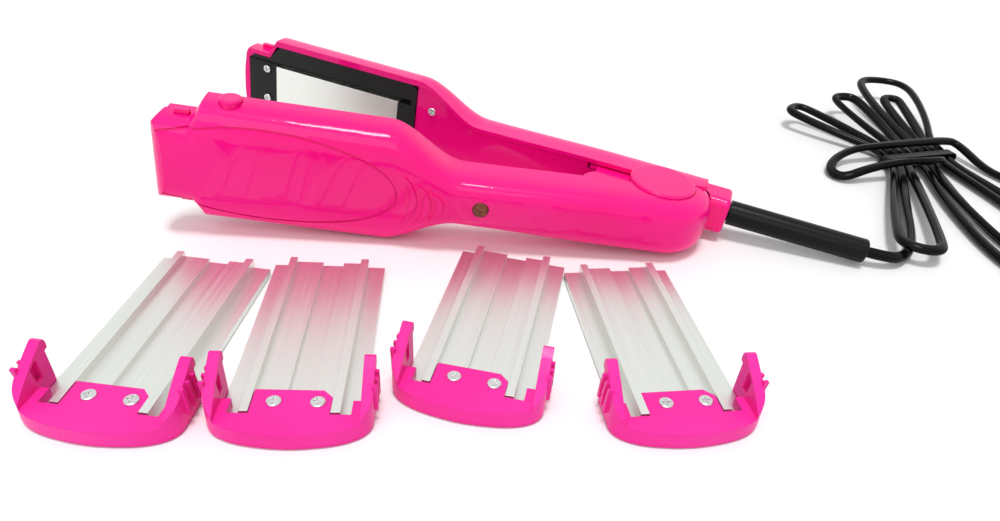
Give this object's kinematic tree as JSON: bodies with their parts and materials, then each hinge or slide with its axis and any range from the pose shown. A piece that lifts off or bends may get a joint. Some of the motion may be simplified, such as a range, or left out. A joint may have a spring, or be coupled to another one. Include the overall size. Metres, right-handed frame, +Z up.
{
  "type": "hair crimper",
  "caption": "Two-arm hair crimper lying open, with slide-on crimping plates, release buttons, pilot lamp, swivelling strain relief and a tied mains cord.",
  "frame": {"origin": "on the table, under the centre of the box round the tool and its plates, without the cord", "axes": "+Z up from the table, the tips of the arms point towards -X and the cord leaves towards +X"},
  "size_m": [0.5414, 0.4122, 0.069],
  "materials": {
    "pink_plastic": "glossy moulded plastic, hot pink",
    "black_frame": "heat resistant moulded plastic, satin black",
    "heater_aluminium": "brushed along the arm",
    "plate_aluminium": "extruded, fine lines along the length",
    "screw_steel": "bright plated",
    "spring_steel": "plain drawn",
    "heating_ceramic": "unglazed ceramic",
    "mica": "flaked sheet",
    "cutout_case": "moulded",
    "lead_insulation": "braided sleeve",
    "amber_lens": "clear amber moulding, dark while off",
    "lamp_glass": "clear glass envelope",
    "cord_black": "glossy flexible PVC",
    "tie_black": "soft plastic strip",
    "black_plastic": "glossy flexible PVC moulding"
  },
  "bodies": {
    "far_arm": {"far_shell": "pink_plastic", "far_heater_frame": "black_frame", "far_heater_plate": "heater_aluminium", "far_heater_element": "heating_ceramic", "far_mica_sheet": "mica", "far_heater_clamp": "spring_steel", "far_thermal_cutout": "cutout_case", "far_inner_cover": "pink_plastic", "far_frame_screws": "screw_steel", "far_cover_screws": "screw_steel", "far_button_spring": "spring_steel", "far_leads": "lead_insulation", "cord_block": "pink_plastic", "hinge_spring": "spring_steel", "cord": "cord_black", "cord_hank": "cord_black", "cord_tail": "cord_black", "cord_tie": "tie_black", "plug": "black_plastic"},
    "near_arm": {"near_shell": "pink_plastic", "near_heater_frame": "black_frame", "near_heater_plate": "heater_aluminium", "near_heater_element": "heating_ceramic", "near_mica_sheet": "mica", "near_heater_clamp": "spring_steel", "near_thermal_cutout": "cutout_case", "near_inner_cover": "pink_plastic", "near_frame_screws": "screw_steel", "near_cover_screws": "screw_steel", "near_button_spring": "spring_steel", "near_leads": "lead_insulation", "hinge_pin": "spring_steel", "hinge_cap_top": "pink_plastic", "hinge_cap_bottom": "pink_plastic", "hinge_washers": "spring_steel", "indicator_lens": "amber_lens", "neon_lamp": "lamp_glass"},
    "near_button": {"near_release_button": "pink_plastic"},
    "far_button": {"far_release_button": "pink_plastic"},
    "relief": {"strain_relief": "black_plastic"},
    "crimping_plate_a": {"plate_a": "plate_aluminium", "plate_a_holder": "pink_plastic", "plate_a_screws": "screw_steel"},
    "crimping_plate_b": {"plate_b": "plate_aluminium", "plate_b_holder": "pink_plastic", "plate_b_screws": "screw_steel"},
    "crimping_plate_c": {"plate_c": "plate_aluminium", "plate_c_holder": "pink_plastic", "plate_c_screws": "screw_steel"},
    "crimping_plate_d": {"plate_d": "plate_aluminium", "plate_d_holder": "pink_plastic", "plate_d_screws": "screw_steel"}
  },
  "joints": [
    {"name": "arm_hinge", "type": "hinge", "parent": "far_arm", "child": "near_arm", "pos_m": [0.06729, 0.04123, 0.01772], "axis": [-0.0914, 0.0103, -0.9958], "range_deg": [0, 19.2], "stiffness_Nm_per_rad": 0.3, "springref_deg": -28.65},
    {"name": "near_button_press", "type": "slide", "parent": "near_arm", "child": "near_button", "axis": [-0.0914, 0.0103, -0.9958], "range_m": [0, 0.0015], "stiffness_N_per_m": 800, "springref_m": -0.002, "deforming": ["near_button_spring"]},
    {"name": "far_button_press", "type": "slide", "parent": "far_arm", "child": "far_button", "axis": [0.0914, -0.0103, 0.9958], "range_m": [0, 0.0015], "stiffness_N_per_m": 800, "springref_m": -0.002, "deforming": ["far_button_spring"]},
    {"name": "strain_relief_swivel", "type": "hinge", "parent": "far_arm", "child": "relief", "pos_m": [0.10669, 0.04914, 0.01418], "axis": [0.9593, -0.2674, -0.0909], "continuous": true},
    {"name": "plate_a_lift", "type": "slide", "parent": "far_arm", "child": "crimping_plate_a", "axis": [0, 0, 1], "range_m": [0, 0.1]},
    {"name": "plate_b_lift", "type": "slide", "parent": "far_arm", "child": "crimping_plate_b", "axis": [0, 0, 1], "range_m": [0, 0.1]},
    {"name": "plate_c_lift", "type": "slide", "parent": "far_arm", "child": "crimping_plate_c", "axis": [0, 0, 1], "range_m": [0, 0.1]},
    {"name": "plate_d_lift", "type": "slide", "parent": "far_arm", "child": "crimping_plate_d", "axis": [0, 0, 1], "range_m": [0, 0.1]}
  ]
}
